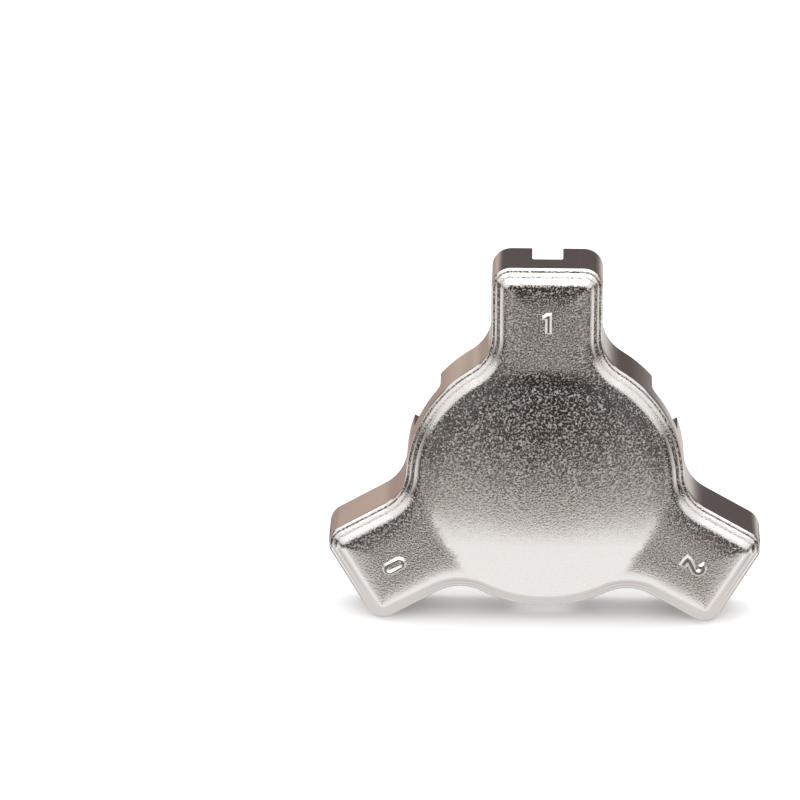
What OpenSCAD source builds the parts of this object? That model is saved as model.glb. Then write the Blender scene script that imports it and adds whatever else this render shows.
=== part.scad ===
// Three-armed spoke wrench: one plated casting with a domed front, and on its back a bowl,
// three spoke troughs and a nipple slot between two jaws along each arm.
// It stands on the ends of arms 0 and 2, with arm 1 up and the dome facing -Y.

/* [Arms] */
// Distance from the hub axis to the end of each arm
arm_reach = 24.7; // [22:0.1:28]
// Width of each arm
arm_w = 12; // [10:0.1:14]
// Thickness of each arm, from the lands of its jaws to its flat front
arm_t = 7.7; // [7:0.1:9]
// Radius of the corners at the end of each arm, seen from the front
arm_corner_r = 2.1; // [1.5:0.1:2.8]
// How far the stepped edge round the front reaches in from the wall
front_edge_w = 2.2; // [1.2:0.1:2.2]
// How far the stepped edge round the front reaches back from the flat front
front_edge_h = 1.7; // [1.2:0.1:2.2]

/* [Hub] */
// Diameter of the hub
hub_d = 30.4; // [29:0.1:33]
// Radius of the hollow corner where an arm meets the hub
hub_blend_r = 4.8; // [3:0.1:6]
// Diameter of the dome on the front of the hub
dome_d = 25.8; // [20:0.1:25.8]
// Height of the dome above the front of the arms
dome_rise = 1.6; // [0.8:0.1:2.5]

/* [Nipple slots] */
// Width of the slot along arm 0
slot_0_w = 3.23; // [3:0.01:4]
// Width of the slot along arm 1
slot_1_w = 3.3; // [3:0.01:4]
// Width of the slot along arm 2
slot_2_w = 3.45; // [3:0.01:4]
// Depth of the slots below the lands
slot_depth = 3.6; // [2.8:0.1:3.8]
// Radius of the corners of each jaw beside its slot and at the rim, seen from the back
jaw_corner_r = 0.2; // [0.1:0.05:1]
// Radius of the rounded edge round each land
land_edge_r = 0.45; // [0.2:0.05:0.6]

/* [Bowl and spoke troughs] */
// Diameter of the bowl at its wall
bowl_d = 17.8; // [16:0.1:19]
// Depth of the bowl below the lands
bowl_depth = 4.8; // [4.5:0.1:5.2]
// Width of the hollow foot between the bowl's wall and its flat floor
bowl_foot_w = 2.8; // [1.5:0.1:3.5]
// Width of each trough between its walls
trough_w = 5.6; // [5:0.1:6.5]
// Depth of each trough below the lands, where it leaves the rim
trough_depth = 4.1; // [3.9:0.1:4.3]
// Radius of the hollow corner between a trough's wall and its floor
trough_floor_r = 0.5; // [0.2:0.05:0.7]
// Radius of the rounded shoulder where a trough opens into the bowl
shoulder_r = 2.7; // [1.5:0.1:3.5]

/* [Hidden] */
// Directions of arms 0, 1 and 2 about the hub axis, and the turn from an arm to the trough beside it
ARM_ANGLES = [210, 90, 330];
TROUGH_TURN = 60;
// How much of a trough's rise is a lip at the bowl's floor
TROUGH_LIP_SHARE = 0.2;
SLOT_WIDTHS = [slot_0_w, slot_1_w, slot_2_w];
// Points along a corner, along the hub's rim and along a rounded edge
CORNER_STEPS = 6;
RIM_STEPS = 8;
EDGE_STEPS = 6;
// Front edge from the wall to the flat front, by a rounded lip, a narrow bead, a shallow hollow and a wide
// bead: the shares of its reach in from the wall and of its reach back from the front
EDGE_SHARES = [
    [0, 1], [0.008, 0.924], [0.03, 0.853], [0.066, 0.79], [0.114, 0.745], [0.168, 0.716], [0.195, 0.7],
    [0.25, 0.63], [0.295, 0.565], [0.34, 0.51], [0.386, 0.475], [0.432, 0.455],
    [0.5, 0.37], [0.59, 0.255], [0.68, 0.155], [0.773, 0.08], [0.864, 0.032], [1, 0],
];
// How far a cut runs past the surface that it opens
overrun = 1;
// Radius of a corner that is drawn in further than its own radius
crisp_r = 0.05;
// Two points of an outline that are closer than this are one
same_point = 0.001;
$fn = 96;
NICKEL = "#b3a9a0";
LAND = "#8f8a86";

hub_r = hub_d / 2;
arm_half = arm_w / 2;
bowl_r = bowl_d / 2;
// Flat floor of the bowl, inside the hollow foot of its wall
bowl_floor_r = bowl_r - bowl_foot_w;
bowl_foot_h = bowl_depth - slot_depth;
trough_half = trough_w / 2;
// Sphere that the dome is cut from
dome_r = (pow(dome_d / 2, 2) + pow(dome_rise, 2)) / (2 * dome_rise);
// Height of the hub axis when the wrench stands on the corners of arms 0 and 2
hub_z = (arm_reach - arm_corner_r) * sin(30) + (arm_half - arm_corner_r) * cos(30) + arm_corner_r;
// The lands' distance behind the middle of the whole thickness
land_y = (arm_t + dome_rise) / 2;
// Corner between an arm's side and the hub: the centre of its arc and that centre's direction
blend_x = arm_half + hub_blend_r;
blend_y = sqrt(pow(hub_r + hub_blend_r, 2) - pow(blend_x, 2));
blend_angle = atan2(blend_y, blend_x);

// An arc is its centre, its radius, its two angles and its number of steps
function arc_points(arc) = [
    for (i = [0 : arc[4]])
        let (angle = arc[2] + (arc[3] - arc[2]) * i / arc[4])
        arc[0] + arc[1] * [cos(angle), sin(angle)]
];
// Arcs that touch share a point, which is kept once; others are joined by a straight side
function outline(arcs) =
    let (points = [for (arc = arcs) each arc_points(arc)], n = len(points))
    [for (i = [0 : n - 1]) if (norm(points[i] - points[(i + 1) % n]) > same_point) points[i]];
function turned(p, angle) = [p.x * cos(angle) - p.y * sin(angle), p.x * sin(angle) + p.y * cos(angle)];
function turned_arc(arc, angle) = [turned(arc[0], angle), arc[1], arc[2] + angle, arc[3] + angle, arc[4]];

// One arm pointing along +Y with the stretch of hub rim after it, counter-clockwise, drawn in by inset
function arm_arcs(inset) =
    let (
        half = arm_half - inset,
        reach = arm_reach - inset,
        corner = max(arm_corner_r - inset, crisp_r)
    ) [
        [[blend_x, blend_y], hub_blend_r + inset, blend_angle + 180, 180, CORNER_STEPS],
        [[half - corner, reach - corner], corner, 0, 90, CORNER_STEPS],
        [[corner - half, reach - corner], corner, 90, 180, CORNER_STEPS],
        [[-blend_x, blend_y], hub_blend_r + inset, 0, -blend_angle, CORNER_STEPS],
        [[0, 0], hub_r - inset, 180 - blend_angle, 120 + blend_angle, RIM_STEPS],
    ];
function casting_outline(inset) =
    outline([for (angle = [0, 120, 240]) for (arc = arm_arcs(inset)) turned_arc(arc, angle)]);

// The jaw to the right of a slot of half width w, on an arm pointing along +Y, counter-clockwise and drawn
// in by inset: rim, hollow corner, end corner, slot mouth, slot tip, bowl wall, shoulder and trough mouth
function jaw_outline(w, inset) =
    let (
        trough_angle = 90 - TROUGH_TURN,
        edge = max(jaw_corner_r - inset, crisp_r),
        rim_r = hub_r - inset,
        wall_r = bowl_r + inset,
        lobe_r = shoulder_r - inset,
        slot_x = w + inset + edge,
        trough_y = trough_half + inset,
        mouth = [sqrt(pow(rim_r - edge, 2) - pow(trough_y + edge, 2)), trough_y + edge],
        shoulder = [sqrt(pow(wall_r + lobe_r, 2) - pow(trough_y + lobe_r, 2)), trough_y + lobe_r],
        tip = [slot_x, sqrt(pow(wall_r + edge, 2) - pow(slot_x, 2))],
        mouth_angle = trough_angle + atan2(mouth.y, mouth.x),
        shoulder_angle = trough_angle + atan2(shoulder.y, shoulder.x),
        tip_angle = atan2(tip.y, tip.x),
        arm = arm_arcs(inset)
    ) outline([
        [[0, 0], rim_r, mouth_angle, blend_angle, RIM_STEPS],
        arm[0],
        arm[1],
        [[slot_x, arm_reach - inset - edge], edge, 90, 180, CORNER_STEPS],
        [tip, edge, 180, 180 + tip_angle, CORNER_STEPS],
        [[0, 0], wall_r, tip_angle, shoulder_angle, RIM_STEPS],
        [turned(shoulder, trough_angle), lobe_r, shoulder_angle - 180, trough_angle - 90, CORNER_STEPS],
        [turned(mouth, trough_angle), edge, trough_angle - 90, mouth_angle, CORNER_STEPS],
    ]);

// Solid skinned over outlines; a ring is its depth below the lands and its outline.
// Each end is a fan about the hub axis where the outline goes round it, and otherwise a strip that is
// zipped up from the outline's first point, between its two halves
module loft(rings, round_hub = false) {
    skin = [for (ring = rings) for (p = ring[1]) [p.x, p.y, -ring[0]]];
    n = len(skin) / len(rings);
    last = len(skin) - n;
    hub = [for (ring = [rings[0], rings[len(rings) - 1]]) [0, 0, -ring[0]]];
    walls = [
        for (k = [0 : len(rings) - 2]) for (i = [0 : n - 1])
            let (j = (i + 1) % n, a = k * n, b = a + n)
            each [[a + i, a + j, b + j], [a + i, b + j, b + i]]
    ];
    fans = [
        for (i = [0 : n - 1])
            let (j = (i + 1) % n)
            each [[len(skin), j, i], [len(skin) + 1, last + i, last + j]]
    ];
    strips = [
        for (i = [0 : ceil(n / 2) - 2])
            let (j = n - 1 - i, rungs = [[i, j, i + 1], [i + 1, j, j - 1]])
            for (rung = rungs) if (rung[0] != rung[2])
                each [rung, [for (k = [2 : -1 : 0]) last + rung[k]]]
    ];
    polyhedron(concat(skin, round_hub ? hub : []), concat(walls, round_hub ? fans : strips));
}

// Puts what is drawn flat, with the lands at zero and facing +Z, into the standing wrench
module standing() {
    translate([0, land_y, hub_z]) rotate([-90, 0, 0]) mirror([0, 1, 0]) children();
}

// Domed hub and arms from the slot floor to the front, with the stepped edge all round the front
module blank() {
    loft(concat(
        [[slot_depth, casting_outline(0)]],
        [for (share = EDGE_SHARES)
            [arm_t - front_edge_h * share[1], casting_outline(front_edge_w * share[0])]]
    ), round_hub = true);
    translate([0, 0, -arm_t]) intersection() {
        translate([0, 0, dome_r - dome_rise]) sphere(r = dome_r);
        translate([0, 0, -dome_rise]) cylinder(d = dome_d, h = dome_rise + front_edge_h);
    }
}

// Bowl with a hollow foot to its wall
module bowl_cut() {
    rotate_extrude() {
        translate([0, -slot_depth]) square([bowl_r, slot_depth + overrun]);
        translate([0, -bowl_depth]) square([bowl_floor_r, bowl_depth]);
        intersection() {
            translate([bowl_floor_r, -slot_depth])
                scale([1, bowl_foot_h / bowl_foot_w]) circle(r = bowl_foot_w);
            translate([bowl_floor_r, -bowl_depth]) square([bowl_foot_w, bowl_foot_h]);
        }
    }
}

// Trough from just above the bowl's floor out through the rim, rising to its own depth there
module trough_cut() {
    start_depth = bowl_depth - TROUGH_LIP_SHARE * (bowl_depth - trough_depth);
    run = hub_r - bowl_floor_r;
    slope = atan2(start_depth - trough_depth, run);
    translate([0, bowl_floor_r, -start_depth]) rotate([90 - slope, 0, 180]) linear_extrude(run + overrun) {
        translate([-trough_half, trough_floor_r]) square([trough_w, bowl_depth + overrun]);
        translate([trough_floor_r - trough_half, 0]) square([trough_w - 2 * trough_floor_r, bowl_depth]);
        for (side = [-1, 1])
            translate([side * (trough_half - trough_floor_r), trough_floor_r]) circle(r = trough_floor_r);
    }
}

module body() {
    color(NICKEL) standing() difference() {
        blank();
        bowl_cut();
        for (angle = ARM_ANGLES) rotate(angle - 90 + TROUGH_TURN) trough_cut();
    }
}

// One of the two jaws of an arm; side is +1 to the right of its slot and -1 to the left
module jaw(arm, side) {
    w = SLOT_WIDTHS[arm] / 2;
    color(LAND) standing() rotate(ARM_ANGLES[arm] - 90) mirror([side < 0 ? 1 : 0, 0, 0])
        loft(concat(
            [for (i = [0 : EDGE_STEPS])
                let (angle = 90 * i / EDGE_STEPS)
                [land_edge_r * (1 - cos(angle)), jaw_outline(w, land_edge_r * (1 - sin(angle)))]],
            [[slot_depth, jaw_outline(w, 0)]]
        ));
}

body();
jaw(0, -1);  // jaw_0_left
jaw(0, 1);  // jaw_0_right
jaw(1, -1);  // jaw_1_left
jaw(1, 1);  // jaw_1_right
jaw(2, -1);  // jaw_2_left
jaw(2, 1);  // jaw_2_right
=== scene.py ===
import math

import bmesh
import bpy
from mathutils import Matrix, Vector


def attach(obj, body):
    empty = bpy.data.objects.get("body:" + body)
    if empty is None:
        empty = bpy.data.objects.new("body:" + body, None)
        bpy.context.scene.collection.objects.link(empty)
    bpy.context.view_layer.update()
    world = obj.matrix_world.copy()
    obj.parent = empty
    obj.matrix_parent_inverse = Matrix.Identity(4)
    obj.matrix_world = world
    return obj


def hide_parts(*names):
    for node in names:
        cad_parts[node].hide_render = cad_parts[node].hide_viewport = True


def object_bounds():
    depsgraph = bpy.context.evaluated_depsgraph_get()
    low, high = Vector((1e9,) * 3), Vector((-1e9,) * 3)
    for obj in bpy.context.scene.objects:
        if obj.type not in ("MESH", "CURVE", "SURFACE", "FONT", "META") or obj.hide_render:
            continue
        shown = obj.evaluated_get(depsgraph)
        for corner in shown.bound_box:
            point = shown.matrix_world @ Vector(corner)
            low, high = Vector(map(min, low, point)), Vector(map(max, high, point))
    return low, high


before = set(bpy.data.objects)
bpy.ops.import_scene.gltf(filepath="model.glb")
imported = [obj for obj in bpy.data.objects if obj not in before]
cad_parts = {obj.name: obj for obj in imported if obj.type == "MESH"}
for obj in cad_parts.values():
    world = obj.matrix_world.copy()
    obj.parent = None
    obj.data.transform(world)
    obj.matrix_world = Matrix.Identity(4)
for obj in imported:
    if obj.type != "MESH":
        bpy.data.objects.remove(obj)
cadLow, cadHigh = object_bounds()
print("frame loaded, CAD box in mm:", [round(1000 * side, 2) for side in cadHigh - cadLow])

mm = 0.001  # pieces are drawn in millimetres and brought down to metres at the end


# helpers for drawing outlines
def quarter(steps):  # angles from 0 to 90 degrees
    return [math.radians(90 * i / steps) for i in range(steps + 1)]


def arcPoints(centre, radius, start, end, steps):
    angles = [math.radians(start + (end - start) * i / steps) for i in range(steps + 1)]
    return [(centre[0] + radius * math.cos(a), centre[1] + radius * math.sin(a)) for a in angles]


def linePoints(start, end, steps):  # the points between two ends, without the ends
    return [
        (start[0] + (end[0] - start[0]) * i / steps, start[1] + (end[1] - start[1]) * i / steps)
        for i in range(1, steps)
    ]


def turnPoints(points, degrees):
    c, s = math.cos(math.radians(degrees)), math.sin(math.radians(degrees))
    return [(x * c - y * s, x * s + y * c) for x, y in points]


def mirrorPoints(points):
    return [(-x, y) for x, y in reversed(points)]


# helpers for working by hand
def pickOnly(piece):
    bpy.ops.object.select_all(action="DESELECT")
    piece.select_set(True)
    bpy.context.view_layer.objects.active = piece


def pickVerts(piece, numbers):
    wanted = set(numbers)
    cage = bmesh.from_edit_mesh(piece.data)
    for vert in cage.verts:
        vert.select = vert.index in wanted
    cage.select_flush_mode()
    bmesh.update_edit_mesh(piece.data)


def skinLoops(name, loops):
    size = len(loops[0])
    mesh = bpy.data.meshes.new(name)
    rims = [(k * size + i, k * size + (i + 1) % size) for k in range(len(loops)) for i in range(size)]
    mesh.from_pydata([point for loop in loops for point in loop], rims, [])
    piece = bpy.data.objects.new(name, mesh)
    bpy.context.collection.objects.link(piece)
    pickOnly(piece)
    bpy.ops.object.mode_set(mode="EDIT")
    bpy.ops.mesh.select_mode(type="VERT")
    for k in range(len(loops) - 1):  # each loop is bridged to the next
        pickVerts(piece, range(k * size, (k + 2) * size))
        bpy.ops.mesh.bridge_edge_loops()
    for k in (0, len(loops) - 1):  # and both ends are closed
        pickVerts(piece, range(k * size, (k + 1) * size))
        bpy.ops.mesh.edge_face_add()
    bpy.ops.mesh.select_all(action="SELECT")
    bpy.ops.mesh.normals_make_consistent(inside=False)
    bpy.ops.object.mode_set(mode="OBJECT")
    return piece


def cutAway(piece, cutter):
    pickOnly(piece)
    cut = piece.modifiers.new("cut", "BOOLEAN")
    cut.operation = "DIFFERENCE"
    cut.solver = "EXACT"
    cut.object = cutter
    bpy.ops.object.modifier_apply(modifier=cut.name)
    bpy.data.objects.remove(cutter, do_unlink=True)


# the casting's outside: flat lands, wall, front edge with its ledge, arm faces and dome
casting = {
    "armReach": 24.7,
    "armHalf": 6.0,
    "cornerRadius": 2.1,
    "leastCorner": 0.12,  # radius of a corner that is drawn in by more than its own
    "hubRadius": 15.2,
    "blendRadius": 4.8,
    "armThickness": 7.7,
    "landEdge": 0.45,
    # in from the wall and down from the lands: rounded lip, narrow bead, wide bead, soft rim of the face
    "frontEdge": [
        (0.0, 6.0), (0.017, 6.129), (0.067, 6.25), (0.146, 6.354), (0.25, 6.433), (0.37, 6.483), (0.43, 6.5),
        (0.455, 6.525), (0.5, 6.57), (0.57, 6.635), (0.66, 6.71), (0.75, 6.775), (0.85, 6.838), (0.93, 6.885),
        (0.97, 6.915), (1.03, 6.975), (1.1, 7.045), (1.2, 7.14), (1.3, 7.228), (1.4, 7.308), (1.5, 7.378),
        (1.6, 7.436), (1.7, 7.48), (1.8, 7.511), (1.9, 7.533), (2.0, 7.55), (2.1, 7.565), (2.2, 7.579),
        (2.5, 7.614), (2.9, 7.65), (3.4, 7.677), (3.9, 7.693), (4.4, 7.7),
    ],
    "domeRadius": 13.1,
    "domeRise": 1.6,
    "creaseSoftness": 0.03,
    "domeCore": 10.2,
    "faceRings": 22,
    "faceCrowding": 1.5,  # rings lie closer together towards the dome
    "domeRings": 24,
    "steps": {"edge": 6, "blend": 12, "corner": 10, "side": 12, "end": 10, "rim": 22},
    "weld": 0.002,
    "sliver": 0.001,
    "smoothTo": 42,
}
armTurns = {"1": 0, "2": -120, "0": 120}  # clockwise from the top as seen from the front
landY = 1000 * cadHigh.y
hubZ = (
    (casting["armReach"] - casting["cornerRadius"]) * 0.5
    + (casting["armHalf"] - casting["cornerRadius"]) * math.cos(math.radians(30))
    + casting["cornerRadius"]
)


def standUp(points, depth):  # plan points at a depth below the lands, as the wrench stands
    return [(x, landY - depth, hubZ + y) for x, y in points]


def castingLoop(inset):
    steps = casting["steps"]
    half, reach = casting["armHalf"] - inset, casting["armReach"] - inset
    corner = max(casting["cornerRadius"] - inset, casting["leastCorner"])
    blend, hub = casting["blendRadius"] + inset, casting["hubRadius"] - inset
    bx = half + blend
    by = math.sqrt((hub + blend) ** 2 - bx ** 2)
    meet = math.degrees(math.atan2(by, bx))
    right = arcPoints((bx, by), blend, meet + 180, 180, steps["blend"])
    rightCorner = arcPoints((half - corner, reach - corner), corner, 0, 90, steps["corner"])
    leftCorner = mirrorPoints(rightCorner)
    side = linePoints(right[-1], rightCorner[0], steps["side"])
    end = linePoints(rightCorner[-1], leftCorner[0], steps["end"])
    rim = arcPoints((0, 0), hub, 180 - meet, 120 + meet, steps["rim"])[1:-1]
    third = right + side + rightCorner + end + leftCorner + mirrorPoints(side) + mirrorPoints(right) + rim
    return third + turnPoints(third, 120) + turnPoints(third, 240)


def domeLift(x, y):
    cap = casting["domeRise"] * (1 - (x * x + y * y) / casting["domeRadius"] ** 2)
    return (cap + math.sqrt(cap * cap + casting["creaseSoftness"] ** 2)) / 2


def frontLoop(points, depth):
    return [(x, landY - depth - domeLift(x, y), hubZ + y) for x, y in points]


def makeBlank():
    edge, core = casting["landEdge"], casting["domeCore"]
    loops = []
    for a in quarter(casting["steps"]["edge"]):
        loops.append(standUp(castingLoop(edge * (1 - math.sin(a))), edge * (1 - math.cos(a))))
    for inset, depth in casting["frontEdge"]:
        loops.append(frontLoop(castingLoop(inset), depth))
    face = castingLoop(casting["frontEdge"][-1][0])
    circle = [(x * core / math.hypot(x, y), y * core / math.hypot(x, y)) for x, y in face]
    for i in range(1, casting["faceRings"] + 1):  # arm faces run in to the edge of the dome
        share = 1 - (1 - i / casting["faceRings"]) ** casting["faceCrowding"]
        ring = [(p[0] + (q[0] - p[0]) * share, p[1] + (q[1] - p[1]) * share) for p, q in zip(face, circle)]
        loops.append(frontLoop(ring, casting["armThickness"]))
    for i in range(1, casting["domeRings"]):  # and the dome closes at the hub axis
        share = 1 - i / casting["domeRings"]
        loops.append(frontLoop([(x * share, y * share) for x, y in circle], casting["armThickness"]))
    return skinLoops("casting", loops)


# the working side: slots, bowl and troughs
cavity = {
    "slotHalves": {"0": 1.615, "1": 1.65, "2": 1.725},
    "slotDepth": 3.6,
    "slotFloorRadius": 0.25,
    "jawCorner": 0.08,
    "crisp": 0.04,  # the least a corner is rounded where the land's edge draws it in
    "bowlRadius": 8.9,
    "bowlDepth": 4.8,
    "bowlFoot": 2.8,
    "bowlPin": 0.4,  # radius at which the bowl's floor is closed
    "troughTurns": (30, 150, 270),
    "troughHalf": 2.8,
    "troughGap": 0.5,  # from the flat floor of the bowl to the start of a trough
    "troughStart": 4.66,
    "troughEnd": 4.1,
    "troughFloorRadius": 0.8,
    "mouthDrop": 0.5,  # how fast a trough's floor falls off where its mouth widens
    "shoulder": 2.7,
    "past": 1.5,  # how far a cutter runs past the wall
    "bite": 0.015,  # how far a cutter's rounded corner stands out of the wall, so that it cuts clean
    "ease": 0.02,  # how much the lower cutters are smaller than the upper one
    "lowerTop": 2.85,  # depth at which the lower cutters start
    "steps": {
        "edge": 6, "corner": 8, "wall": 12, "down": 5, "slotFloor": 4,
        "bowlFoot": 12, "bowl": 144, "mouth": 10, "troughFloor": 6,
    },
}


def bowlAt(depth):
    foot = cavity["bowlFoot"]
    down = max(depth - (cavity["bowlDepth"] - foot), 0)
    return cavity["bowlRadius"] - foot + math.sqrt(max(foot * foot - down * down, 0))


def turnOf(point):
    return math.degrees(math.atan2(point[1], point[0]))


def jawSide(slotHalf, flare, bowl):  # from the slot's mouth along the jaw to the trough's mouth, arm upwards
    corner, long = cavity["steps"]["corner"], cavity["steps"]["wall"]
    edge, shoulder = max(cavity["jawCorner"] - flare, cavity["crisp"]), cavity["shoulder"] - flare
    half, trough, wall = slotHalf + flare, cavity["troughHalf"] + flare, bowl + flare
    hub = casting["hubRadius"] + cavity["bite"] - flare
    reach = casting["armReach"] + cavity["bite"] - flare
    mouth = (half + edge, reach - edge)
    tip = (half + edge, math.sqrt((wall + edge) ** 2 - (half + edge) ** 2))
    lobe = (math.sqrt((wall + shoulder) ** 2 - (trough + shoulder) ** 2), trough + shoulder)
    rim = (math.sqrt((hub - edge) ** 2 - (trough + edge) ** 2), trough + edge)
    tipTurn, lobeTurn, rimTurn = turnOf(tip), turnOf(lobe), turnOf(rim)
    slotWall = arcPoints(mouth, edge, 90, 180, corner) + arcPoints(tip, edge, 180, 180 + tipTurn, corner)
    bowlWall = arcPoints((0, 0), wall, tipTurn, 30 + lobeTurn, long)[1:-1]
    turned = arcPoints(lobe, shoulder, lobeTurn - 180, -90, long) + arcPoints(rim, edge, -90, rimTurn, corner)
    turned.append((turned[-1][0] + cavity["past"], turned[-1][1]))
    start = (mouth[0], reach + cavity["past"])
    return [start] + slotWall + bowlWall + turnPoints(turned, 30)


def cavityLoop(flare, bowl):
    loop = []
    for name, turn in armTurns.items():
        right = jawSide(cavity["slotHalves"][name], flare, bowl)
        loop += turnPoints(mirrorPoints(right) + right, turn)
    return loop


def makeUpperCutter():
    edge, floor, deep = casting["landEdge"], cavity["slotFloorRadius"], cavity["slotDepth"]
    steps = cavity["steps"]
    loops = [standUp(cavityLoop(edge, cavity["bowlRadius"]), -cavity["past"])]
    for a in quarter(steps["edge"]):  # rounding of the land's edge
        depth = edge * (1 - math.cos(a)) - cavity["bite"] * math.cos(a)
        loops.append(standUp(cavityLoop(edge * (1 - math.sin(a)), cavity["bowlRadius"]), depth))
    upper = cavity["bowlDepth"] - cavity["bowlFoot"]
    for i in range(steps["down"] + 1):  # wall, drawn in by the foot of the bowl
        depth = upper + (deep - floor - upper) * i / steps["down"]
        loops.append(standUp(cavityLoop(0, bowlAt(depth)), depth))
    for a in quarter(steps["slotFloor"])[1:]:
        depth = deep - floor * (1 - math.sin(a))
        loops.append(standUp(cavityLoop(-floor * (1 - math.cos(a)), bowlAt(depth)), depth))
    return skinLoops("upperCutter", loops)


def makeBowlCutter():
    ease, steps = cavity["ease"], cavity["steps"]
    deep, bottom = cavity["slotDepth"], cavity["bowlDepth"]
    turns = quarter(steps["bowlFoot"])[:-1]
    depths = [cavity["lowerTop"]] + [bottom - (bottom - deep) * math.cos(a) for a in turns]
    profile = [(bowlAt(max(depth, deep)) - ease, depth) for depth in depths]
    profile.append((bowlAt(bottom) - ease, bottom))
    profile.append((cavity["bowlPin"], bottom))
    rings = [(arcPoints((0, 0), radius, 0, 360, steps["bowl"])[:-1], depth) for radius, depth in profile]
    return skinLoops("bowlCutter", [standUp(ring, depth) for ring, depth in rings])


def makeTroughCutter(turn):
    edge, corner = cavity["jawCorner"], cavity["troughFloorRadius"]
    half, steps = cavity["troughHalf"] - cavity["ease"], cavity["steps"]
    hub = casting["hubRadius"] + cavity["bite"]
    rim = math.sqrt((hub - edge) ** 2 - (half + edge) ** 2)
    start = bowlAt(cavity["bowlDepth"]) + cavity["troughGap"]
    stations = [(start, 0)]
    stations += [(rim + edge * math.sin(a), edge * (1 - math.cos(a))) for a in quarter(steps["mouth"])]
    stations.append((stations[-1][0] + cavity["past"], stations[-1][1]))
    fall = cavity["troughEnd"] - cavity["troughStart"]
    loops = []
    for along, flare in stations:
        share = (along - start) / (hub - start)
        floor = cavity["troughStart"] + fall * share + flare * cavity["mouthDrop"]
        across = half + flare
        right = [(across, cavity["lowerTop"])] + [
            (across - corner + corner * math.cos(a), floor - corner + corner * math.sin(a))
            for a in quarter(steps["troughFloor"])
        ]
        section = right + mirrorPoints(right)
        loops.append([standUp(turnPoints([(along, x)], turn), depth)[0] for x, depth in section])
    return skinLoops("troughCutter", loops)


def makeCasting():
    piece = makeBlank()
    print("blank:", len(piece.data.polygons), "faces")
    cutAway(piece, makeUpperCutter())
    cutAway(piece, makeBowlCutter())
    for turn in cavity["troughTurns"]:
        cutAway(piece, makeTroughCutter(turn))
    pickOnly(piece)
    bpy.ops.object.mode_set(mode="EDIT")
    bpy.ops.mesh.select_all(action="SELECT")
    bpy.ops.mesh.remove_doubles(threshold=casting["weld"])
    bpy.ops.mesh.dissolve_degenerate(threshold=casting["sliver"])
    bpy.ops.mesh.normals_make_consistent(inside=False)
    bpy.ops.object.mode_set(mode="OBJECT")
    piece.scale = (mm, mm, mm)
    bpy.ops.object.transform_apply(location=False, rotation=False, scale=True)
    bpy.ops.object.shade_smooth_by_angle(angle=math.radians(casting["smoothTo"]))
    even = piece.modifiers.new("evenNormals", "WEIGHTED_NORMAL")
    even.keep_sharp = True
    bpy.ops.object.modifier_apply(modifier=even.name)
    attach(piece, "root")
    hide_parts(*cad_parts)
    return piece


wrench = makeCasting()
print("casting:", len(wrench.data.polygons), "faces")


# raised size numbers on the arm faces, their tops towards the arms' ends
def stadium(half, tall, steps=16):
    cap = arcPoints((0, tall - half), half, 0, 180, steps)
    return cap + [(-x, -y) for x, y in cap]


def stroke(points, half):  # outline of a pen line
    right, left = [], []
    for i, (x, y) in enumerate(points):
        before, after = points[max(i - 1, 0)], points[min(i + 1, len(points) - 1)]
        way = Vector((after[0] - before[0], after[1] - before[1])).normalized()
        right.append((x + half * way.y, y - half * way.x))
        left.append((x - half * way.y, y + half * way.x))
    return right + left[::-1]


numerals = {
    "fromHub": 18.9,
    "nudges": {"0": (0, -0.5)},
    "proud": 0.24,
    "sunk": 0.2,
    # outline and holes at the top of each; the bevel widens it downwards
    "shapes": {
        "0": [stadium(0.58, 1.19), stadium(0.42, 1.03)],
        "1": [[
            (-0.12, -1.0), (0.12, -1.0), (0.12, 1.0), (-0.06, 1.0),
            (-0.46, 0.76), (-0.46, 0.66), (-0.12, 0.66),
        ]],
        "2": [stroke(
            arcPoints((0, 0.6), 0.55, 160, -30, 14)
            + [(-0.3, -0.75), (-0.42, -1.02), (-0.1, -1.06), (0.52, -1.06)],
            0.17,
        )],
    },
    "weld": 0.001,
    "smoothTo": 25,
}


def makeNumeral(number, turn):
    curve = bpy.data.curves.new("numeral_" + number, "CURVE")
    curve.dimensions = "2D"
    for shape in numerals["shapes"][number]:
        line = curve.splines.new("POLY")
        line.points.add(len(shape) - 1)
        for point, (x, y) in zip(line.points, shape):
            point.co = (x, y, 0, 1)
        line.use_cyclic_u = True
    curve.fill_mode = "BOTH"
    curve.extrude = numerals["sunk"] / 2
    curve.bevel_depth = numerals["proud"]
    curve.bevel_resolution = 0
    piece = bpy.data.objects.new(curve.name, curve)
    bpy.context.collection.objects.link(piece)
    pickOnly(piece)
    bpy.ops.object.convert(target="MESH")
    bpy.ops.object.mode_set(mode="EDIT")
    bpy.ops.mesh.select_all(action="SELECT")
    bpy.ops.mesh.remove_doubles(threshold=numerals["weld"])
    bpy.ops.mesh.normals_make_consistent(inside=False)
    bpy.ops.object.mode_set(mode="OBJECT")
    bpy.ops.object.origin_set(type="ORIGIN_GEOMETRY", center="BOUNDS")
    across, along = turnPoints([(0, numerals["fromHub"])], turn)[0]
    aside, up = numerals["nudges"].get(number, (0, 0))
    deep = landY - casting["armThickness"] + numerals["sunk"] / 2  # the bevel starts on the face of the arm
    piece.location = Vector((across + aside, deep, hubZ + along + up)) * mm
    piece.rotation_euler = (math.radians(90), -math.radians(turn), 0)
    piece.scale = (mm, mm, mm)
    bpy.ops.object.transform_apply(location=True, rotation=True, scale=True)
    bpy.ops.object.shade_smooth_by_angle(angle=math.radians(numerals["smoothTo"]))
    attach(piece, "root")
    return piece


marks = [makeNumeral(number, turn) for number, turn in armTurns.items()]
print("numerals:", [mark.name for mark in marks])


# helpers for materials: each adds a node, feeds it and gives what comes out
def feed(tree, value, socket):
    if isinstance(value, bpy.types.NodeSocket):
        tree.links.new(value, socket)
    else:
        socket.default_value = value


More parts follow.
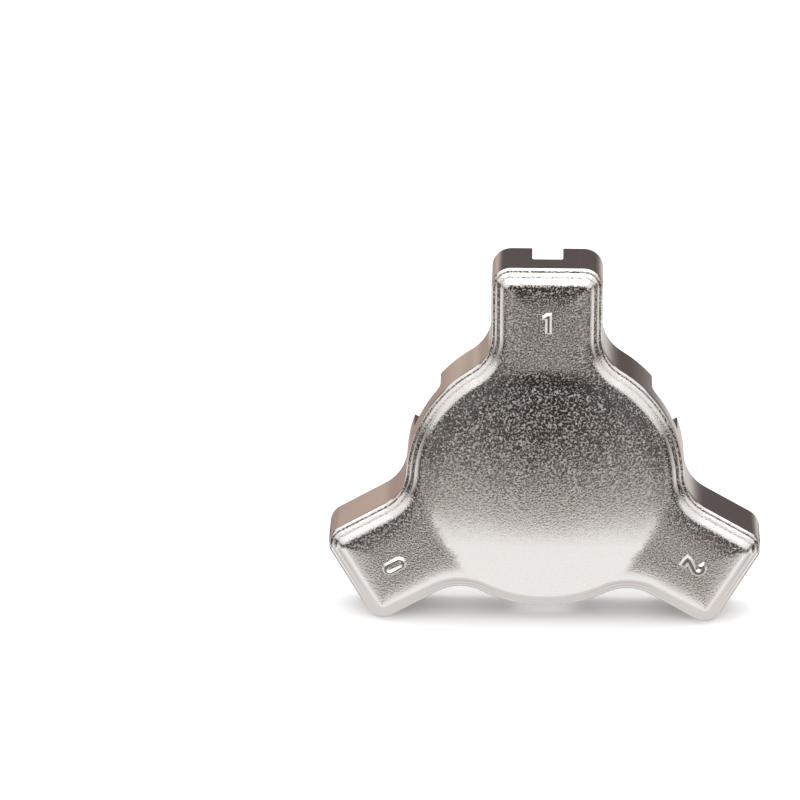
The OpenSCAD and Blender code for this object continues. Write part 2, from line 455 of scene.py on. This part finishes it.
def addMath(tree, operation, *values):
    node = tree.nodes.new("ShaderNodeMath")
    node.operation = operation
    for value, socket in zip(values, node.inputs):
        feed(tree, value, socket)
    return node.outputs["Value"]


def addRange(tree, value, fromRange=(0, 1), toRange=(0, 1), kind="LINEAR"):
    node = tree.nodes.new("ShaderNodeMapRange")
    node.interpolation_type = kind
    node.inputs["From Min"].default_value, node.inputs["From Max"].default_value = fromRange
    node.inputs["To Min"].default_value, node.inputs["To Max"].default_value = toRange
    feed(tree, value, node.inputs["Value"])
    return node.outputs["Result"]


def addBlend(tree, factor, first, second, kind="RGBA", way="MIX"):
    node = tree.nodes.new("ShaderNodeMix")
    node.data_type, node.blend_type = kind, way
    for value, name in ((factor, "Factor"), (first, "A"), (second, "B")):
        feed(tree, value, node.inputs[name])
    return node.outputs["Result"]


def addAxes(tree, vector):
    node = tree.nodes.new("ShaderNodeSeparateXYZ")
    feed(tree, vector, node.inputs["Vector"])
    return node.outputs


def addRamp(tree, value, stops):
    node = tree.nodes.new("ShaderNodeValToRGB")
    tones = node.color_ramp.elements
    while len(tones) < len(stops):
        tones.new(0.5)
    for tone, (share, colour) in zip(tones, stops):
        tone.position = share
        tone.color = (*colour, 1)
    feed(tree, value, node.inputs["Fac"])
    return node.outputs["Color"]


# satin nickel over a cast skin: coarse grain on the dome and in the bowl, fine on arms and lands
finish = {
    "colour": (0.87, 0.845, 0.825, 1),
    "warmer": (0.84, 0.795, 0.76, 1),
    "hollow": (0.5, 0.44, 0.395, 1),
    "land": (0.33, 0.3, 0.28, 1),
    "landDepth": 0.12,
    "smooth": 0.14,  # roughness of the skin, of its matt specks and of the raised numbers
    "speck": 0.74,
    "worn": 0.15,
    "coarseGrain": 0.21,
    "fineGrain": 0.19,
    "grainHeight": 0.00005,
    "pebbleDetail": 2,
    "pebbleRoughness": 0.6,
    "cloudScale": 160,
    "cloudDetail": 4,
    "fineShare": 0.9,  # how strong the fine grain is beside the coarse
    "speckRange": (0.5, 0.62),  # heights of the grain that turn matt, and those that turn dark
    "hollowRange": (0.54, 0.4),
    "domeSpecks": -0.01,
    "armSpecks": -0.015,
    "domeEdge": (0.0112, 0.0135),
    "faceTurn": (0.7, 0.92),  # walls are smoother than what faces forwards or back
    "wallGrain": 0.05,
    "downTurn": (-0.13, -0.03),  # and what faces down keeps little grain: it is smoother, and lighter in colour where its dark hollows fade, a painted highlight
    "downGrain": 0.1,
}


def makeGrainGroup():
    group = bpy.data.node_groups.new("castGrain", "ShaderNodeTree")
    group.interface.new_socket("Place", in_out="INPUT", socket_type="NodeSocketVector")
    group.interface.new_socket("Grain", in_out="INPUT", socket_type="NodeSocketFloat")
    group.interface.new_socket("Height", in_out="OUTPUT", socket_type="NodeSocketFloat")
    group.interface.new_socket("Tone", in_out="OUTPUT", socket_type="NodeSocketFloat")
    given, result = group.nodes.new("NodeGroupInput"), group.nodes.new("NodeGroupOutput")
    pebbles = group.nodes.new("ShaderNodeTexNoise")
    pebbles.inputs["Detail"].default_value = finish["pebbleDetail"]
    pebbles.inputs["Roughness"].default_value = finish["pebbleRoughness"]
    perMetre = addMath(group, "DIVIDE", 1 / mm, given.outputs["Grain"])
    group.links.new(given.outputs["Place"], pebbles.inputs["Vector"])
    group.links.new(perMetre, pebbles.inputs["Scale"])
    clouds = group.nodes.new("ShaderNodeTexNoise")
    clouds.inputs["Scale"].default_value = finish["cloudScale"]
    clouds.inputs["Detail"].default_value = finish["cloudDetail"]
    group.links.new(given.outputs["Place"], clouds.inputs["Vector"])
    group.links.new(pebbles.outputs["Fac"], result.inputs["Height"])
    group.links.new(clouds.outputs["Fac"], result.inputs["Tone"])
    return group


def addGrain(tree, grainGroup, place, size):
    node = tree.nodes.new("ShaderNodeGroup")
    node.node_tree = grainGroup
    node.inputs["Grain"].default_value = size
    tree.links.new(place, node.inputs["Place"])
    return node.outputs


def makeMetal(name):
    material = bpy.data.materials.new(name)
    material.use_nodes = True
    shader = material.node_tree.nodes["Principled BSDF"]
    shader.inputs["Metallic"].default_value = 1
    return material, shader


def makeCastNickel(grainGroup):
    material, shader = makeMetal("castNickel")
    tree = material.node_tree
    place = tree.nodes.new("ShaderNodeTexCoord").outputs["Object"]
    coarse = addGrain(tree, grainGroup, place, finish["coarseGrain"])
    fine = addGrain(tree, grainGroup, place, finish["fineGrain"])
    # distance from the hub axis
    centred = tree.nodes.new("ShaderNodeMapping")
    centred.inputs["Location"].default_value = (0, 0, -hubZ * mm)
    centred.inputs["Scale"].default_value = (1, 0, 1)
    tree.links.new(place, centred.inputs["Vector"])
    fromHub = tree.nodes.new("ShaderNodeVectorMath")
    fromHub.operation = "LENGTH"
    tree.links.new(centred.outputs["Vector"], fromHub.inputs[0])
    outside = addRange(tree, fromHub.outputs["Value"], finish["domeEdge"], kind="SMOOTHSTEP")
    height = addBlend(tree, outside, coarse["Height"], fine["Height"], kind="FLOAT")
    specks = addRange(tree, outside, toRange=(finish["domeSpecks"], finish["armSpecks"]))
    lifted = addMath(tree, "ADD", height, specks)
    # how strong the grain is: on walls, on the arms and underneath
    facing = addAxes(tree, tree.nodes.new("ShaderNodeNewGeometry").outputs["Normal"])
    flat = addMath(tree, "ABSOLUTE", facing["Y"])
    faceShare = addRange(tree, flat, finish["faceTurn"], (finish["wallGrain"], 1))
    armShare = addRange(tree, outside, toRange=(1, finish["fineShare"]))
    # what faces down keeps little grain: less bump, fewer matt specks, and a lighter colour as its dark
    # hollows fade, a painted highlight
    downSmoothingAndHighlight = addRange(tree, facing["Z"], finish["downTurn"], (finish["downGrain"], 1))
    skin = addMath(tree, "MULTIPLY", addMath(tree, "MULTIPLY", faceShare, armShare), downSmoothingAndHighlight)
    bump = tree.nodes.new("ShaderNodeBump")
    bump.inputs["Distance"].default_value = finish["grainHeight"]
    tree.links.new(skin, bump.inputs["Strength"])
    tree.links.new(height, bump.inputs["Height"])
    tree.links.new(bump.outputs["Normal"], shader.inputs["Normal"])
    # matt specks on a brighter skin with darker hollows
    matt = addMath(tree, "MULTIPLY", addRange(tree, lifted, finish["speckRange"]), skin)
    dull = addRange(tree, matt, toRange=(finish["smooth"], finish["speck"]))
    tree.links.new(dull, shader.inputs["Roughness"])
    tint = addBlend(tree, fine["Tone"], finish["colour"], finish["warmer"])
    hollow = addMath(tree, "MULTIPLY", addRange(tree, lifted, finish["hollowRange"]), skin)
    shade = addBlend(tree, hollow, tint, finish["hollow"])
    # the lands, and the top of their rounded edges, are given a darker colour than the rest of the skin
    landRange = [(landY - depth) * mm for depth in (finish["landDepth"], finish["landDepth"] / 4)]
    darkerLands = addBlend(tree, addRange(tree, addAxes(tree, place)["Y"], landRange), shade, finish["land"])
    tree.links.new(darkerLands, shader.inputs["Base Color"])
    return material


def makeWornNickel():
    material, shader = makeMetal("wornNickel")
    shader.inputs["Base Color"].default_value = finish["colour"]
    shader.inputs["Roughness"].default_value = finish["worn"]
    return material


castNickel = makeCastNickel(makeGrainGroup())
wornNickel = makeWornNickel()
for piece, material in [(wrench, castNickel)] + [(mark, wornNickel) for mark in marks]:
    piece.data.materials.clear()
    piece.data.materials.append(material)
print("materials:", [material.name for material in bpy.data.materials])

# plain white floor, a large soft light overhead, and grey cards that the metal reflects
sideTones = (
    (0.0, (0.8, 0.77, 0.75)), (0.35, (0.45, 0.42, 0.4)), (0.6, (0.3, 0.27, 0.26)), (1.0, (0.15, 0.13, 0.12)),
)
studio = {
    "floorSize": 12.0,
    "floorColour": (1, 1, 1, 1),
    "floorRoughness": 0.9,
    "worldColour": (1, 1, 1, 1),
    "worldStrength": 1.0,
    "softbox": {"low": (-0.6, -0.52, 0.617), "high": (0.6, 0.267, 0.617), "radiance": 1.25},
    # a half-round card in front, whose top drops at the sides, where its tones rise by a share of its height
    "surround": {
        "radius": 0.6, "turn": 88, "steps": 88, "low": -36, "high": 43, "sideHigh": 4,
        "drop": (8, 55), "rise": (5, 20), "riseShare": 0.068,
        # tones from below upwards; from the middle out, the shares of them and how white they get
        "tones": (
            (0.0, (1.0, 1.0, 1.0)), (0.035, (0.98, 0.97, 0.96)), (0.068, (0.6, 0.56, 0.53)),
            (0.094, (0.24, 0.206, 0.184)), (0.13, (0.165, 0.134, 0.119)), (0.2, (0.155, 0.126, 0.112)),
            (0.25, (0.11, 0.09, 0.08)), (0.32, (0.042, 0.035, 0.031)), (1.0, (0.032, 0.026, 0.023)),
        ),
        "shares": ((0.07, 1.0), (0.25, 0.95), (0.45, 0.6), (0.85, 0.5)),
        "fade": ((0.12, 0.0), (0.24, 0.16), (0.42, 0.04), (0.86, 0.0), (0.98, 1.0)),
    },
    # corners of the flat cards, and their tones from the first pair to the second
    "cards": {
        "backCard": {
            "corners": ((-0.6, 0.5, -0.3), (0.9, 0.5, -0.3), (0.9, 0.5, 0.95), (-0.6, 0.5, 0.95)),
            "tones": (
                (0.0, (0.75, 0.72, 0.7)), (0.16, (0.6, 0.56, 0.54)),
                (0.24, (0.25, 0.22, 0.21)), (0.3, (0.12, 0.1, 0.098)),
            ),
        },
        "underCard": {  # the wrench's own shade on the floor
            "corners": (
                (-0.035, -0.0045, -0.0004), (0.035, -0.0045, -0.0004),
                (0.035, 0.03, -0.0004), (-0.035, 0.03, -0.0004),
            ),
            "tones": (
                (0.0, (0.85, 0.85, 0.85)), (0.09, (0.74, 0.72, 0.71)),
                (0.13, (0.6, 0.57, 0.56)), (0.21, (0.1, 0.09, 0.086)),
            ),
        },
        "leftCard": {
            "corners": ((-0.2, 0.1, -0.1), (-0.03, 0.1, -0.1), (-0.03, 0.1, 0.06), (-0.2, 0.1, 0.06)),
            "tones": (
                (0.0, (0.38, 0.27, 0.24)), (0.75, (0.42, 0.32, 0.28)),
                (0.86, (0.6, 0.49, 0.42)), (1.0, (0.2, 0.17, 0.16)),
            ),
        },
        "rightSideCard": {
            "corners": ((0.55, -0.12, -0.17), (0.55, 0.42, -0.17), (0.55, 0.42, 0.3), (0.55, -0.12, 0.3)),
            "tones": sideTones,
        },
        "leftSideCard": {
            "corners": ((-0.55, -0.12, -0.17), (-0.55, 0.42, -0.17), (-0.55, 0.42, 0.3), (-0.55, -0.12, 0.3)),
            "tones": sideTones,
        },
    },
}


def makeFloor():
    bpy.ops.object.select_all(action="DESELECT")
    bpy.ops.mesh.primitive_plane_add(size=studio["floorSize"], location=(0, 0, 0))
    piece = bpy.context.object
    piece.name = "floor"
    paper = bpy.data.materials.new("paper")
    paper.use_nodes = True
    shader = paper.node_tree.nodes["Principled BSDF"]
    shader.inputs["Base Color"].default_value = studio["floorColour"]
    shader.inputs["Roughness"].default_value = studio["floorRoughness"]
    piece.data.materials.append(paper)
    piece.visible_glossy = False  # the metal reflects the cards and the white around them instead


def hangCard(name, points, faces, ways, card):
    mesh = bpy.data.meshes.new(name)
    mesh.from_pydata(points, [], faces)
    way = mesh.uv_layers.new(name="way")
    for loop, corner in zip(way.data, mesh.loops):
        loop.uv = ways[corner.vertex_index]
    piece = bpy.data.objects.new(name, mesh)
    bpy.context.collection.objects.link(piece)
    paint = bpy.data.materials.new(name)
    paint.use_nodes = True
    tree = paint.node_tree
    tree.nodes.remove(tree.nodes["Principled BSDF"])
    along = addAxes(tree, tree.nodes.new("ShaderNodeTexCoord").outputs["UV"])
    shown = addRamp(tree, along["Y"], card["tones"])
    if "fade" in card:  # darker beside the middle, and white at both sides
        shares, fade = (
            addRamp(tree, along["X"], [(share, (level,) * 3) for share, level in card[key]])
            for key in ("shares", "fade")
        )
        darker = addBlend(tree, 1, shown, shares, way="MULTIPLY")
        shown = addBlend(tree, fade, darker, (1, 1, 1, 1))
    glow = tree.nodes.new("ShaderNodeEmission")
    tree.links.new(shown, glow.inputs["Color"])
    tree.links.new(glow.outputs["Emission"], tree.nodes["Material Output"].inputs["Surface"])
    mesh.materials.append(paint)
    piece.visible_camera = False
    piece.visible_diffuse = False
    piece.visible_shadow = False


def makeSurround(card):
    points, ways, faces = [], [], []
    radius, steps = card["radius"], card["steps"]
    low, high = (radius * math.tan(math.radians(card[key])) for key in ("low", "high"))
    for i in range(steps + 1):
        share = 2 * i / steps - 1
        turn = card["turn"] * share
        a = math.radians(turn)
        down, lift = (
            min(max((abs(turn) - first) / (last - first), 0), 1)
            for first, last in (card["drop"], card["rise"])
        )
        down = down * down * (3 - 2 * down)
        top = radius * math.tan(math.radians(card["high"] + (card["sideHigh"] - card["high"]) * down))
        for z in (low, top):
            points.append((radius * math.sin(a), -radius * math.cos(a), hubZ * mm + z))
            ways.append((abs(share), (z - low) / (high - low) - card["riseShare"] * lift))
        if i:
            faces.append((2 * i - 2, 2 * i, 2 * i + 1, 2 * i - 1))
    hangCard("surround", points, faces, ways, card)


def makeSoftbox(box):
    low, high = Vector(box["low"]), Vector(box["high"])
    bpy.ops.object.select_all(action="DESELECT")
    bpy.ops.object.light_add(type="AREA", location=(low + high) / 2)
    light = bpy.context.object
    light.name = "softbox"
    light.data.shape = "RECTANGLE"
    light.data.size, light.data.size_y = high.x - low.x, high.y - low.y
    light.data.energy = box["radiance"] * math.pi * light.data.size * light.data.size_y


makeFloor()
makeSurround(studio["surround"])
for name, card in studio["cards"].items():
    hangCard(name, card["corners"], [(0, 1, 2, 3)], [(0, 0), (1, 0), (1, 1), (0, 1)], card)
makeSoftbox(studio["softbox"])
world = bpy.data.worlds.new("studio")
bpy.context.scene.world = world
world.use_nodes = True
world.node_tree.nodes["Background"].inputs["Color"].default_value = studio["worldColour"]
world.node_tree.nodes["Background"].inputs["Strength"].default_value = studio["worldStrength"]
print("studio set")

# long lens from in front and above; it aims left of the wrench, which stands to the right in the picture
view = {
    "lens": 238.6,
    "sensor": 36,
    "distance": 0.583,
    "elevation": 23.7,
    "azimuth": 0.0,
    "aimLeft": 0.01606,
    "aimUp": 0.006,
    "clip": (0.01, 100),
}
bpy.ops.object.select_all(action="DESELECT")
bpy.ops.object.camera_add()
camera = bpy.context.object
camera.data.lens = view["lens"]
camera.data.sensor_width = view["sensor"]
camera.data.clip_start, camera.data.clip_end = view["clip"]
hub = Vector((0, landY, hubZ)) * mm
tilt, swing = math.radians(view["elevation"]), math.radians(view["azimuth"])
back = Vector((math.sin(swing) * math.cos(tilt), -math.cos(swing) * math.cos(tilt), math.sin(tilt)))
side = Vector((math.cos(swing), math.sin(swing), 0))
camera.location = hub + back * view["distance"]
aim = hub - side * view["aimLeft"] + back.cross(side) * view["aimUp"]
camera.rotation_mode = "QUATERNION"
camera.rotation_quaternion = (aim - camera.location).to_track_quat("-Z", "Y")
bpy.context.scene.camera = camera
bpy.context.scene.view_settings.view_transform = "Standard"
print("camera set")
